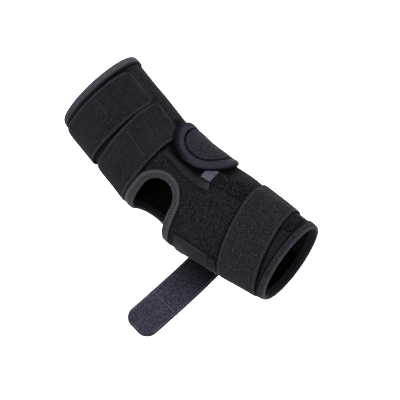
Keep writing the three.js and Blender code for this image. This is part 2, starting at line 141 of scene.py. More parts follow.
def pointOn(along, turn, off):
    x, z, tilt = axisAt(along)
    half = widthAt(along) / 2
    c, s = math.cos(math.radians(turn)), math.sin(math.radians(turn))
    wave = noise.noise(Vector((along / brace["waveLength"], 1.8 * c + 5, 1.8 * s + 3)))
    off += brace["wave"] * wave + foldHeight(along, turn)
    up = (half + off) * s
    out = (half * brace["flatness"] + off) * c
    return Vector((x - up * math.sin(tilt), -out, z + up * math.cos(tilt))) / 1000


def shoulderRim(turn):
    t = math.radians(turn)
    lean = brace["shoulderSlant"] * math.sin(t) - brace["shoulderSkew"] * (1 - math.cos(t))
    return brace["shoulderEnd"] + lean


def wristRim(turn):
    return brace["wristEnd"] + brace["wristSlant"] * math.sin(math.radians(turn))


# Making and finishing pieces
def selectOnly(piece):
    bpy.ops.object.select_all(action="DESELECT")
    piece.select_set(True)
    bpy.context.view_layer.objects.active = piece


def newPiece(name):  # the primitive just added
    piece = bpy.context.active_object
    piece.name = piece.data.name = name
    return piece


def placePrimitive():
    bpy.ops.object.transform_apply(location=True, rotation=True, scale=True)


def newGrid(name, width, length, columns, rows):
    bpy.ops.object.select_all(action="DESELECT")
    bpy.ops.mesh.primitive_grid_add(x_subdivisions=columns, y_subdivisions=rows, size=1, calc_uvs=False)
    piece = newPiece(name)
    bpy.ops.transform.resize(value=(width, length, 1))
    placePrimitive()
    return piece


def pointOutwards():
    bpy.ops.mesh.select_all(action="SELECT")
    bpy.ops.mesh.normals_make_consistent(inside=False)


def flatSlab(name, width, length, thickness, step, rim):
    piece = newGrid(name, width, length, max(2, round(width / step)), max(2, round(length / step)))
    bpy.ops.object.mode_set(mode="EDIT")
    bpy.ops.mesh.select_all(action="SELECT")
    bpy.ops.mesh.extrude_region_move(TRANSFORM_OT_translate={"value": (0, 0, thickness)})
    pointOutwards()
    bpy.context.tool_settings.mesh_select_mode = (False, True, False)
    bpy.ops.mesh.select_all(action="DESELECT")
    shape = bmesh.from_edit_mesh(piece.data)
    for edge in shape.edges:  # the rims of both faces
        low, high = sorted(v.co.z for v in edge.verts)
        edge.select = edge.calc_face_angle(0) > crispAngle and high - low < thickness / 10
    shape.select_flush_mode()
    bmesh.update_edit_mesh(piece.data)
    bpy.ops.mesh.bevel(offset=rim, segments=2, affect="EDGES")
    pointOutwards()
    bpy.ops.object.mode_set(mode="OBJECT")
    return piece


# Lays a flat shape in place and keeps on it where it was flat, its pale hems and its painted shade
def wrap(piece, place, hemAt=None, paintedShadeAt=None):
    mesh = piece.data
    flat = [v.co.copy() for v in mesh.vertices]
    layer = mesh.uv_layers.new(name="flat")
    for loop in mesh.loops:
        spot = flat[loop.vertex_index]
        layer.data[loop.index].uv = (spot.x / 1000, spot.y / 1000)
    hem = mesh.attributes.new("hem", "FLOAT", "POINT")
    crease = mesh.attributes.new("crease", "FLOAT", "POINT")
    for i, spot in enumerate(flat):
        hem.data[i].value = hemAt(spot.x, spot.y) if hemAt else 0.0
        crease.data[i].value = paintedShadeAt(spot.x, spot.y, spot.z) if paintedShadeAt else 0.0
        mesh.vertices[i].co = place(spot.x, spot.y, spot.z)
    mesh.update()
    return piece


def applyModifier(piece, kind, **settings):
    selectOnly(piece)
    modifier = piece.modifiers.new(kind.title(), kind)
    for key, value in settings.items():
        setattr(modifier, key, value)
    bpy.ops.object.modifier_apply(modifier=modifier.name)


def closeLoop(piece):
    selectOnly(piece)
    bpy.ops.object.mode_set(mode="EDIT")
    bpy.ops.mesh.select_all(action="SELECT")
    bpy.ops.mesh.remove_doubles(threshold=0.00002)
    bpy.ops.object.mode_set(mode="OBJECT")


def finishPiece(piece, slot, finish, *nodes):
    selectOnly(piece)
    bpy.ops.object.shade_smooth_by_angle(angle=crispAngle)
    piece.data.materials.clear()
    piece.data.materials.append(finish)
    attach(piece, "root")
    if nodes:
        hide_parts(*nodes)
    return piece


# Shader groups: they give colours, masks and heights only
def shaderGroup(name, inputs, outputs):
    group = bpy.data.node_groups.new(name, "ShaderNodeTree")
    for titles, way in ((inputs, "INPUT"), (outputs, "OUTPUT")):
        for title, kind in titles.items():
            group.interface.new_socket(name=title, in_out=way, socket_type="NodeSocket" + kind)
    return group, group.nodes.new("NodeGroupInput").outputs, group.nodes.new("NodeGroupOutput").inputs


def feed(tree, socket, value):  # a link or a plain number or colour
    if isinstance(value, bpy.types.NodeSocket):
        tree.links.new(value, socket)
    else:
        socket.default_value = value


def mathNode(tree, operation, a, b, clampIt):
    node = tree.nodes.new("ShaderNodeMath")
    node.operation = operation
    node.use_clamp = clampIt
    feed(tree, node.inputs[0], a)
    feed(tree, node.inputs[1], b)
    return node.outputs[0]


def times(tree, a, b, clampIt=False):
    return mathNode(tree, "MULTIPLY", a, b, clampIt)


def plus(tree, a, b, clampIt=False):
    return mathNode(tree, "ADD", a, b, clampIt)


def noiseNode(tree, place, scale, detail=2.0, roughness=0.55):
    node = tree.nodes.new("ShaderNodeTexNoise")
    node.inputs["Detail"].default_value = detail
    node.inputs["Roughness"].default_value = roughness
    tree.links.new(place, node.inputs["Vector"])
    feed(tree, node.inputs["Scale"], scale)
    return node.outputs["Fac"]


def mixTone(tree, factor, a, b):
    node = tree.nodes.new("ShaderNodeMix")
    node.data_type = "RGBA"
    feed(tree, node.inputs[0], factor)
    feed(tree, node.inputs[6], a)
    feed(tree, node.inputs[7], b)
    return node.outputs[2]


def spread(tree, value, low, high):
    node = tree.nodes.new("ShaderNodeMapRange")
    node.inputs["From Min"].default_value = low
    node.inputs["From Max"].default_value = high
    tree.links.new(value, node.inputs["Value"])
    return node.outputs["Result"]


def sineOf(tree, place, pitch):
    return mathNode(tree, "SINE", times(tree, times(tree, place, pitch), math.tau), 0.5, False)


patternOutputs = {"Tone": "Color", "Height": "Float"}


def makeNapGroup():  # brushed pile with a few pale flecks
    group, given, result = shaderGroup("brushedNap", {
        "Place": "Vector", "Fineness": "Float", "Fleck": "Float", "Dark": "Color", "Light": "Color",
        "Fleck Tone": "Color"}, patternOutputs)
    place, fineness = given["Place"], given["Fineness"]
    fine = noiseNode(group, place, fineness, 3.0, 0.62)
    clump = noiseNode(group, place, times(group, fineness, 0.42))
    patch = noiseNode(group, place, 0.035)
    cells = group.nodes.new("ShaderNodeTexVoronoi")
    group.links.new(place, cells.inputs["Vector"])
    group.links.new(times(group, fineness, 1.3), cells.inputs["Scale"])
    dots = spread(group, cells.outputs["Distance"], 0.45, 0.2)
    pick = group.nodes.new("ShaderNodeSeparateColor")
    group.links.new(cells.outputs["Color"], pick.inputs["Color"])
    few = mathNode(group, "GREATER_THAN", pick.outputs["Red"], 0.7, False)
    fleck = times(group, times(group, dots, few), given["Fleck"], True)
    shade = plus(group, times(group, spread(group, fine, 0.4, 0.62), 0.6),
                 times(group, spread(group, clump, 0.36, 0.66), 0.26))
    shade = plus(group, shade, times(group, spread(group, patch, 0.3, 0.7), 0.14), True)
    tone = mixTone(group, shade, given["Dark"], given["Light"])
    tone = mixTone(group, fleck, tone, given["Fleck Tone"])
    height = plus(group, times(group, fine, 0.6), times(group, clump, 0.5))
    height = plus(group, height, times(group, fleck, 0.25))
    group.links.new(tone, result["Tone"])
    group.links.new(height, result["Height"])
    return group


def makeWeaveGroup():  # crossed ribs; pitches are in ribs a mm
    group, given, result = shaderGroup("ribWeave", {
        "Place": "Vector", "Across": "Float", "Lengthwise": "Float", "Depth": "Float", "Dark": "Color",
        "Light": "Color"}, patternOutputs)
    split = group.nodes.new("ShaderNodeSeparateXYZ")
    group.links.new(given["Place"], split.inputs[0])
    ribs = times(group, sineOf(group, split.outputs["X"], given["Across"]),
                 sineOf(group, split.outputs["Y"], given["Lengthwise"]))
    ribs = plus(group, times(group, ribs, 0.5), 0.5)
    grain = noiseNode(group, given["Place"], 1.1, 3.0, 0.6)
    patch = noiseNode(group, given["Place"], 0.06)
    shade = times(group, ribs, given["Depth"])
    shade = plus(group, shade, times(group, spread(group, grain, 0.4, 0.64), 0.5))
    shade = plus(group, shade, times(group, spread(group, patch, 0.3, 0.7), 0.3), True)
    tone = mixTone(group, shade, given["Dark"], given["Light"])
    group.links.new(tone, result["Tone"])
    height = plus(group, times(group, ribs, 0.6), times(group, grain, 0.5))
    group.links.new(height, result["Height"])
    return group


def makeHemGroup():  # pale edges, partly the cloth's own tone and partly painted highlight, and painted shade that darkens narrow places
    group, given, result = shaderGroup("pressedHem", {
        "Tone": "Color", "Hem": "Float", "Crease": "Float", "Place": "Vector", "Hem Tone": "Color",
        "Strength": "Float"}, {"Tone": "Color"})
    uneven = spread(group, noiseNode(group, given["Place"], 0.8), 0.36, 0.62)
    speckled = plus(group, times(group, uneven, 0.75), 0.25)
    mask = times(group, given["Hem"], speckled)
    mask = times(group, mask, given["Strength"], True)
    withPaleHems = mixTone(group, mask, given["Tone"], given["Hem Tone"])
    # Painted shade: the tone is mixed towards the near-black colour below wherever the painted shade mask is
    # high
    paintedShadeShare = times(group, given["Crease"], 0.95, True)
    group.links.new(mixTone(group, paintedShadeShare, withPaleHems, (0.0008, 0.0008, 0.001, 1)), result["Tone"])
    return group


napGroup = makeNapGroup()
weaveGroup = makeWeaveGroup()
hemGroup = makeHemGroup()
clothSockets = {"Roughness": "roughness", "Specular IOR Level": "specular", "Sheen Weight": "sheen"}
napSockets = {"Dark": "dark", "Light": "light", "Fineness": "fineness", "Fleck": "fleck",
              "Fleck Tone": "fleckTone"}
weaveSockets = {"Dark": "dark", "Light": "light", "Across": "across", "Lengthwise": "lengthwise",
                "Depth": "depth"}
hemSockets = {"Hem Tone": "hemTone", "Strength": "hemStrength"}
sheen = {"roughness": 0.45, "tint": (0.75, 0.76, 0.9, 1.0)}
bumpDistance = 0.0006


def setSockets(node, sockets, look):
    for title, key in sockets.items():
        node.inputs[title].default_value = look[key]


def clothFinish(name, look):
    material = bpy.data.materials.new(name)
    material.use_nodes = True
    tree = material.node_tree
    surface = tree.nodes["Principled BSDF"]
    setSockets(surface, clothSockets, look)
    surface.inputs["Sheen Roughness"].default_value = sheen["roughness"]
    surface.inputs["Sheen Tint"].default_value = sheen["tint"]
    inMm = tree.nodes.new("ShaderNodeMapping")
    inMm.inputs["Scale"].default_value = (1000, 1000, 1000)
    pattern = tree.nodes.new("ShaderNodeGroup")
    if look["pattern"] == "weave":  # follows the tape
        source = tree.nodes.new("ShaderNodeUVMap")
        source.uv_map = "flat"
        tree.links.new(source.outputs["UV"], inMm.inputs["Vector"])
        pattern.node_tree = weaveGroup
        setSockets(pattern, weaveSockets, look)
    else:
        source = tree.nodes.new("ShaderNodeTexCoord")
        tree.links.new(source.outputs["Object"], inMm.inputs["Vector"])
        pattern.node_tree = napGroup
        setSockets(pattern, napSockets, look)
    hem = tree.nodes.new("ShaderNodeGroup")
    hem.node_tree = hemGroup
    setSockets(hem, hemSockets, look)
    for title, layer in (("Hem", "hem"), ("Crease", "crease")):
        source = tree.nodes.new("ShaderNodeAttribute")
        source.attribute_name = layer
        tree.links.new(source.outputs["Fac"], hem.inputs[title])
    tree.links.new(inMm.outputs["Vector"], pattern.inputs["Place"])
    tree.links.new(inMm.outputs["Vector"], hem.inputs["Place"])
    tree.links.new(pattern.outputs["Tone"], hem.inputs["Tone"])
    tree.links.new(hem.outputs["Tone"], surface.inputs["Base Color"])
    bump = tree.nodes.new("ShaderNodeBump")
    bump.inputs["Strength"].default_value = look["bump"]
    bump.inputs["Distance"].default_value = bumpDistance
    tree.links.new(pattern.outputs["Height"], bump.inputs["Height"])
    tree.links.new(bump.outputs["Normal"], surface.inputs["Normal"])
    return material


def grey(level, blue=1.3):
    return (level, level * 0.955, level * blue, 1.0)


# Finishes of the cloths. Tones are linear; fineness is in clumps of nap a mm.
strapLook = dict(pattern="nap", dark=grey(0.0024), light=grey(0.0208), fleckTone=grey(0.052), fineness=1.05,
                 fleck=0.6, roughness=0.92, specular=0.05, sheen=0.012, bump=0.6, hemTone=grey(0.034),
                 hemStrength=0.8)
padLook = dict(pattern="weave", dark=grey(0.0030, 1.45), light=grey(0.0160, 1.45), across=0.6, lengthwise=0.6,
               depth=0.3, roughness=0.6, specular=0.08, sheen=0.01, bump=0.3, hemTone=grey(0.075),
               hemStrength=0.6)
threadLook = dict(strapLook, dark=grey(0.028), light=grey(0.075), fleckTone=grey(0.1), fineness=3.0,
                  fleck=0.3, roughness=0.6, specular=0.15, sheen=0.02, bump=0.3, hemStrength=0.0)
fleece = clothFinish("fleeceCloth", dict(
    strapLook, dark=grey(0.0003, 1.2), light=grey(0.0185, 1.2), fleckTone=grey(0.085, 1.2), fineness=0.95,
    fleck=0.8, roughness=0.95, specular=0.04, sheen=0.01, bump=1.0, hemTone=grey(0.02), hemStrength=0.3))
strapCloth = clothFinish("brushedStrapCloth", strapLook)
dottedStrap = clothFinish("dottedStrapCloth", dict(
    strapLook, dark=grey(0.0026), light=grey(0.0235), fleckTone=grey(0.095), fleck=0.9, fineness=1.15))
openStrapCloth = clothFinish("openStrapCloth", dict(
    strapLook, dark=grey(0.0020, 1.45), light=grey(0.066, 1.45), fleckTone=grey(0.18, 1.4), fineness=1.0,
    fleck=0.8, bump=0.7, hemTone=grey(0.036, 1.3), hemStrength=0.85))
coverCloth = clothFinish("coverCloth", dict(
    strapLook, dark=grey(0.0030), light=grey(0.0300), fleckTone=grey(0.10), fleck=0.9))
coarseCloth = clothFinish("hookAndLoopCloth", dict(
    strapLook, dark=grey(0.0002), light=grey(0.0058), fleckTone=grey(0.082), fineness=0.95, fleck=0.9,
    roughness=0.85, specular=0.08, sheen=0.0, bump=1.0, hemTone=grey(0.012), hemStrength=0.2))
# Its very pale hem tone is painted highlight on the upper cuff tape's fold, and the wrist tape's own paler
# edge
bindingTape = clothFinish("bindingTape", dict(
    strapLook, dark=grey(0.0010), light=grey(0.0280), fleckTone=grey(0.075), fineness=0.95, specular=0.1,
    bump=0.9, hemTone=grey(0.210, 1.2)))
ribbedTape = clothFinish("ribbedTape", dict(
    padLook, dark=grey(0.0004, 1.15), light=grey(0.036, 1.15), across=0.22, lengthwise=0.3, depth=0.9,
    roughness=0.8, specular=0.1, sheen=0.02, bump=1.0, hemTone=grey(0.110, 1.15), hemStrength=0.65))
padCloth = clothFinish("stretchCloth", padLook)
patchCloth = clothFinish("patchCloth", dict(padLook, hemTone=grey(0.010)))
rimCloth = clothFinish("coverRimCloth", dict(
    strapLook, dark=grey(0.0115, 1.4), light=grey(0.0395, 1.4), fleckTone=grey(0.07, 1.4), fleck=0.35))
gussetCloth = clothFinish("paleStretchCloth", dict(
    padLook, dark=grey(0.012, 1.3), light=grey(0.088, 1.3), across=0.35, lengthwise=0.08, depth=0.8))
lining = clothFinish("liningKnit", dict(
    padLook, dark=grey(0.0020, 0.9), light=grey(0.0090, 0.9), across=0.7, lengthwise=0.7, depth=0.6,
    roughness=0.9, specular=0.06, bump=0.4, hemTone=grey(0.01), hemStrength=0.2))
thread = clothFinish("sewingThread", threadLook)
paleThread = clothFinish("paleThread", dict(
    threadLook, dark=grey(0.10), light=grey(0.26), fleckTone=grey(0.3)))
print("stage: finishes made")


# Stitches: one is modelled and copied along a seam
stitch = {"length": 2.3, "width": 0.6, "height": 0.45, "pitch": 3.3, "lift": 0.24}


def makeStitch():
    bpy.ops.object.select_all(action="DESELECT")
    bpy.ops.mesh.primitive_uv_sphere_add(segments=6, ring_count=4, radius=0.5, calc_uvs=False)
    first = newPiece("stitchPattern")
    bpy.ops.transform.rotate(value=math.pi / 2, orient_axis="Y", center_override=(0, 0, 0))
    bpy.ops.transform.resize(value=(stitch["length"], stitch["width"], stitch["height"]))
    placePrimitive()
    return first


stitchPattern = makeStitch()


def stitchFrame(place, x, y, z, dx, dy):
    run = (place(x + dx, y + dy, z) - place(x - dx, y - dy, z)).normalized()
    rise = (place(x, y, z + 0.5) - place(x, y, z)).normalized()
    side = rise.cross(run).normalized()
    rise = run.cross(side)
    turned = Matrix((run, side, rise)).transposed().to_4x4()
    return Matrix.Translation(place(x, y, z)) @ turned @ Matrix.Scale(0.001, 4)


def seam(start, end, height, pitch=stitch["pitch"]):
    return {"start": start, "end": end, "height": height, "pitch": pitch}


def sewStitches(name, place, seams, finish=thread):
    copies = []
    for line in seams:
        (x0, y0), (x1, y1) = line["start"], line["end"]
        reach = math.hypot(x1 - x0, y1 - y0)
        count = max(1, int(reach / line["pitch"]))
        dx, dy = 0.5 * (x1 - x0) / reach, 0.5 * (y1 - y0) / reach
        for i in range(count):
            t = (i + 0.5) / count
            copy = stitchPattern.copy()
            copy.data = stitchPattern.data.copy()
            x, y, z = mix(x0, x1, t), mix(y0, y1, t), line["height"] + stitch["lift"]
            copy.data.transform(stitchFrame(place, x, y, z, dx, dy))
            bpy.context.collection.objects.link(copy)
            copies.append(copy)
    selectOnly(copies[0])
    for copy in copies:
        copy.select_set(True)
    bpy.ops.object.join()
    return finishPiece(newPiece(name), "binding", finish)


# A flat piece laid in place and finished; shade holds its hem and painted shade functions
def makeSheet(name, size, cut, place, shade, finish, slot, node, sewn=None):
    piece = flatSlab(name, *size, cut["thickness"], cut["step"], cut["rim"])
    wrap(piece, place, *shade)
    finishPiece(piece, slot, finish, node)
    threads = [sewStitches(*sewn)] if sewn else []


# Hinge cover: its outline on the sleeve, from its middle
cover = {"along": 1.0, "round": 77.0, "halfLength": 47.0, "halfReach": 38.5, "squareness": 2.3,
         "rimWidth": 8.5, "gap": 0.65, "beside": 0.8, "strapsEnd": 3.5}


def squared(a, b, power):
    return (a ** cover["squareness"] + b ** cover["squareness"]) ** (power / cover["squareness"])


def coverPlace(x, y, z):
    r = math.hypot(x, y)
    if r > 0:
        stretch = mix(1, squared(abs(x / r), abs(y / r), -1), r / cover["halfReach"])
        x, y = x * stretch, y * stretch
    along = cover["along"] + x * cover["halfLength"] / cover["halfReach"]
    return pointOn(along, cover["round"] + y / mmPerDegree, cover["gap"] + z)


def coverSide(share):
    return (1 - min(abs(share), 1) ** cover["squareness"]) ** (1 / cover["squareness"])


def coverBack(turn, space):
    share = (turn - cover["round"]) * mmPerDegree / (cover["halfReach"] + space)
    return cover["along"] - (cover["halfLength"] + space) * coverSide(share)


def coverLow(along, space):
    share = (along - cover["along"]) / (cover["halfLength"] + space)
    return cover["round"] - (cover["halfReach"] + space) / mmPerDegree * coverSide(share)


def beyondCover(along, turn):  # mm outside the cover's outline
    a = abs(along - cover["along"]) / cover["halfLength"]
    r = abs(turn - cover["round"]) * mmPerDegree / cover["halfReach"]
    return (squared(a, r, 1) - 1) * cover["halfReach"]


# Straps: flat strips of brushed cloth with sewn long edges and cross seams, laid round the sleeve
strapCut = {"width": 47.5, "thickness": 2.2, "step": 1.35, "rim": 0.6, "edgeDrop": (0.45, 3.2), "hemAt": 2.2,
            "hem": (0.35, 0.9), "seam": (0.4, 1.0), "dustTo": 1.7}  # depths with their reaches
upperStrap = {"from": -235.0, "to": 53.0, "back": -126.8, "front": -79.3, "slant": 1.5, "corner": 7.5,
              "lift": (18.0, 24.2, 1.85),  # between these degrees it climbs on the pocket, by so much
              "standOff": (1.5, -84.0, 34.0),  # height, middle and reach of its slack at the lower side
              "seams": (-1.0,), "threadInset": (0, 5), "openEnd": True, "atCover": False}
lowerStrap = {"from": -235.0, "to": 57.0, "back": -74.3, "front": -26.8, "slant": 5.5, "corner": 7.5,
              "lift": (18.0, 24.2, 1.85), "standOff": (0.3, -84.0, 34.0), "seams": (4.0,),
              "threadInset": (0, 5), "openEnd": True, "atCover": True}
forearmStrap = {"from": -188.0, "to": 122.0, "back": 95.9, "slant": 12.0,  # towards the back at the top
                "lift": (7.0, 0.8, 1.85),  # between these degrees beside the coarse patch it climbs on that
                "seams": (-178.0, 112.0), "threadInset": (3, 3), "openEnd": False}
slantBetween = (-30, 40)
parting = {"most": 1.3, "between": (10, 75)}  # how the two upper straps part towards the lower side


def forearmMiddle(turn):
    share = (1 + math.sin(math.radians(clamp(turn, -90, 90)))) / 2
    return forearmStrap["back"] + strapCut["width"] / 2 - forearmStrap["slant"] * share


def strapEdges(strap, turn):
    shift = strap["slant"] * smooth(turn, *slantBetween)
    narrow = parting["most"] * smooth(-turn, *parting["between"])
    back, front = strap["back"] - shift, strap["front"] - shift
    if strap["atCover"]:
        return back + narrow, min(front, coverBack(turn, cover["strapsEnd"]))
    return back, front - narrow


# Painted shade: the cloth is darkened in the narrow places beside what is worn on the sleeve
shadeReach = {"strap": (0.4, 4.4), "cover": (4.0, 9.0)}


def besideStraps(along, turn):
    turn = (turn - upperStrap["from"]) % 360 + upperStrap["from"]
    nearest = math.inf
    for strap in (upperStrap, lowerStrap):
        back, front = strapEdges(strap, turn)
        past = max((turn - strap["to"]) * mmPerDegree, 0)
        nearest = min(nearest, math.hypot(max(back - along, along - front, 0), past))
    aside = max(abs(along - forearmMiddle(turn)) - strapCut["width"] / 2, 0)
    past = max(turn - forearmStrap["to"], forearmStrap["from"] - turn, 0) * mmPerDegree
    nearest = min(nearest, math.hypot(aside, past))
    return 1 - smooth(nearest, *shadeReach["strap"])


# Painted shade on the sleeve beside the straps and round the hinge cover
def sleevePaintedShade(along, turn):
    return max(besideStraps(along, turn), 1 - smooth(beyondCover(along, turn), *shadeReach["cover"]))


# Outline of the hole at the bend, a slot with round ends, moved outward
hole = {"length": 40.0, "reach": 111.0, "along": 2.2, "round": -58.0, "cutBack": 1.8}
holeRadius = hole["length"] / 2
holeSide = hole["reach"] - hole["length"]


def holeSpot(t, outward):
    arc = math.pi * holeRadius
    d = (t % 1.0) * 2 * (holeSide + arc)
    end = 1
    if d >= holeSide + arc:
        d -= holeSide + arc
        end = -1
    if d < arc:
        angle, up = d / holeRadius, holeSide / 2
    else:
        angle, up = math.pi, holeSide / 2 - (d - arc)
    x = end * (holeRadius + outward) * math.cos(angle)
    y = end * (up + (holeRadius + outward) * math.sin(angle))
    return hole["along"] + x, hole["round"] + y / mmPerDegree


def inHole(along, turn, outward):
    x = along - hole["along"]
    y = ((turn - hole["round"] + 180) % 360 - 180) * mmPerDegree
    y -= clamp(y, -holeSide / 2, holeSide / 2)
    return holeRadius + outward - math.hypot(x, y)  # above 0 inside


# Sleeve: a grid of cloth with the hole cut out, rolled into a tube and thickened inwards
sleeveCloth = {"wall": 3.0, "columns": 150, "rows": 180, "pinch": 0.34, "pinchReach": 7.0}


def pinchAt(inward):  # share of the thickness that the sewn tape presses out
    return sleeveCloth["pinch"] * (1 - smooth(inward, 0, sleeveCloth["pinchReach"]))


def pinchEdges(piece):
    points = piece.data.vertices
    half = len(points) // 2  # the second half is the inner face, in the order of the first
    for i in range(half):
        outer, inner = points[i].co.copy(), points[i + half].co.copy()
        share = pinchAt(piece.data.attributes["inward"].data[i].value)
        points[i].co = outer.lerp(inner, share / 2)
        points[i + half].co = inner.lerp(outer, share / 2)


def makeSleeve():
    girth = 360 * mmPerDegree
    piece = newGrid("sleeveCloth", 1, girth, sleeveCloth["columns"], sleeveCloth["rows"])

    def spotOf(x, y):
        turn = y / mmPerDegree
        edge = hole["cutBack"]
        return mix(shoulderRim(turn) + edge, wristRim(turn) - edge, x + 0.5), turn

    bpy.ops.object.mode_set(mode="EDIT")
    shape = bmesh.from_edit_mesh(piece.data)
    bpy.context.tool_settings.mesh_select_mode = (False, False, True)
    for face in shape.faces:
        middle = face.calc_center_median()
        face.select = inHole(*spotOf(middle.x, middle.y), hole["cutBack"]) > 0
    bmesh.update_edit_mesh(piece.data)
    bpy.ops.mesh.delete(type="FACE")
    bpy.ops.object.mode_set(mode="OBJECT")
    inward = piece.data.attributes.new("inward", "FLOAT", "POINT")
    for i, v in enumerate(piece.data.vertices):
        along, turn = spotOf(v.co.x, v.co.y)
        toHole = -inHole(along, turn, 0)
        inward.data[i].value = min(along - shoulderRim(turn), wristRim(turn) - along, toHole)
    wrap(piece, lambda x, y, z: pointOn(*spotOf(x, y), 0), None, lambda x, y, z: sleevePaintedShade(*spotOf(x, y)))
    closeLoop(piece)
    piece.data.materials.append(fleece)
    piece.data.materials.append(lining)
    applyModifier(piece, "SOLIDIFY", thickness=sleeveCloth["wall"] / 1000, offset=-1, material_offset=1)
    pinchEdges(piece)
    bpy.ops.object.shade_smooth_by_angle(angle=crispAngle)
    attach(piece, "root")
    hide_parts("sleeve")


makeSleeve()
print("stage: sleeve made")

# Bindings: a tape folded over an edge, pressed in along its seam. Its pale bands have a middle, a reach
# and a share, counted from the fold; lowShare is what is left of them at the lower side. On the upper cuff
# tape the pale bands are painted highlight on the lit fold, fading towards the shaded lower side; on the
# other tapes they are the tape's own paler edges. darkEdge darkens the tape's edge on the sleeve.
upperTape = {"width": 10.0, "girth": 326.0, "plump": 0.35, "seamAt": 5.2, "seamDepth": 0.3,
             "pale": ((0.8, 2.4, 0.8), (4.6, 3.6, 0.46)), "lowShare": 0.3, "darkEdge": (3.6, 1.5)}
wristTape = {"width": 8.5, "girth": 305.0, "plump": 0.15, "seamAt": 5.8, "seamDepth": 0.45,
             "pale": ((0.5, 1.6, 0.3),), "lowShare": 1.0, "darkEdge": (4.0, 1.6)}
holeTape = {"width": 8.2, "girth": 268.0, "plump": 0.15, "seamAt": 6.3, "seamDepth": 0.45,
            "pale": ((0.5, 1.2, 0.6), (7.2, 1.5, 1.0)), "lowShare": 1.0, "darkEdge": (1.2, 0.1)}
tapeCut = {"wall": 1.1, "columns": 34, "step": 2.2, "pitch": 3.0, "edge": 0.35, "seamReach": 0.7}
foldRadius = sleeveCloth["wall"] / 2 + clearance
foldHalf = foldRadius * math.pi / 2


def tapeProfile(x):
    if abs(x) <= foldHalf:
        angle = x / foldRadius
        c, s = math.cos(angle), math.sin(angle)
        return foldRadius * (1 - c), foldRadius * s, c, s
    return foldRadius + abs(x) - foldHalf, math.copysign(foldRadius, x), 0.0, math.copysign(1.0, x)


def makeTape(name, tape, spotAt, finish, node):
    girth = tape["girth"]
    width = 2 * (tape["width"] - foldRadius + foldHalf)

    def place(x, y, z):
        inward, off, back, out = tapeProfile(x)
        plump = tape["plump"] * (1 - (abs(x) / (width / 2)) ** 4)
        plump -= tape["seamDepth"] * bell(inward - tape["seamAt"], tapeCut["seamReach"])
        inward -= back * (z + plump)
        off = (off + out * (z + plump)) * (1 - pinchAt(inward + 1) * 0.9)
        along, turn = spotAt(y / girth, inward)
        return pointOn(along, turn, off - sleeveCloth["wall"] / 2)

    def paleAt(x, y):
        share = mix(tape["lowShare"], 1, (1 + math.sin(math.tau * y / girth)) / 2)
        return share * max(most * bell(x - middle, reach) for middle, reach, most in tape["pale"])

    piece = newGrid(name, width, girth, tapeCut["columns"], round(girth / tapeCut["step"]))
    # Painted shade: a dark band at the tape's edge where it meets the sleeve
    darkFrom, darkTo = (width / 2 - d for d in tape["darkEdge"])
    wrap(piece, place, paleAt, lambda x, y, z: smooth(x, darkFrom, darkTo))
    closeLoop(piece)
    applyModifier(piece, "SOLIDIFY", thickness=tapeCut["wall"] / 1000, offset=1)
    applyModifier(piece, "BEVEL", width=tapeCut["edge"] / 1000, segments=2, limit_method="ANGLE",
                  angle_limit=crispAngle)
    finishPiece(piece, "binding", finish, node)
    x = foldHalf + tape["seamAt"] - foldRadius
    threads = sewStitches(name + "Stitches", place, [
        seam((x, -girth / 2), (x, girth / 2), tapeCut["wall"] + 0.05, tapeCut["pitch"])])


def upperSpot(t, inward):
    turn = 360 * t
    return shoulderRim(turn) + inward, turn


def wristSpot(t, inward):
    turn = -360 * t
    return wristRim(turn) - inward, turn


makeTape("upperCuffTape", upperTape, upperSpot, bindingTape, "upper_cuff_binding")
makeTape("wristCuffTape", wristTape, wristSpot, bindingTape, "forearm_cuff_binding")
makeTape("elbowHoleTape", holeTape, holeSpot, ribbedTape, "elbow_hole_binding")
print("stage: bindings made")

coarsePatch = {"back": 43.5, "front": 145.4, "width": 26.0, "start": (31.0, 49.0), "end": (38.0, 73.0),
               "thickness": 1.5, "rough": 0.35, "step": 0.8, "rim": 0.25}
pocket = {"from": 25.0, "to": 59.0, "back": -126.8, "front": -32.3, "thickness": 1.5, "seamAt": 1.8,
          "step": 2.0, "rim": 0.4}


def patchEdges(along):
    t = (along - coarsePatch["back"]) / (coarsePatch["front"] - coarsePatch["back"])
    return tuple(mix(start, end, t) for start, end in zip(coarsePatch["start"], coarsePatch["end"]))


def cornerInset(distance, corner):
    t = clamp(1 - distance / corner)
    return corner * (1 - math.sqrt(1 - t * t))


def strapRelief(edge, seamDistances):
    drop, dropReach = strapCut["edgeDrop"]
    hemDepth, hemReach = strapCut["hem"]
    seamDepth, seamReach = strapCut["seam"]
    relief = -drop * (1 - smooth(edge, 0, dropReach)) - hemDepth * bell(edge - strapCut["hemAt"], hemReach)
    return relief - sum(seamDepth * bell(d, seamReach) for d in seamDistances)


def upperLie(strap, turn, x, toEnd):
    inset = cornerInset(toEnd, strap["corner"])
    back, front = strapEdges(strap, turn)
    start, end, lift = strap["lift"]
    most, middle, reach = strap["standOff"]
    low = clearance + lift * smooth(turn, start, end) + most * bell(turn - middle, reach)
    return mix(back + inset, front - inset, x / strapCut["width"] + 0.5), low


def forearmLie(strap, turn, x, toEnd):
    along = forearmMiddle(turn) + x
    low, high = patchEdges(along)
    start, end, lift = strap["lift"]
    climb = smooth(turn, low - start, low - end) * (1 - smooth(turn, high + end, high + start))
    return along, clearance + lift * climb


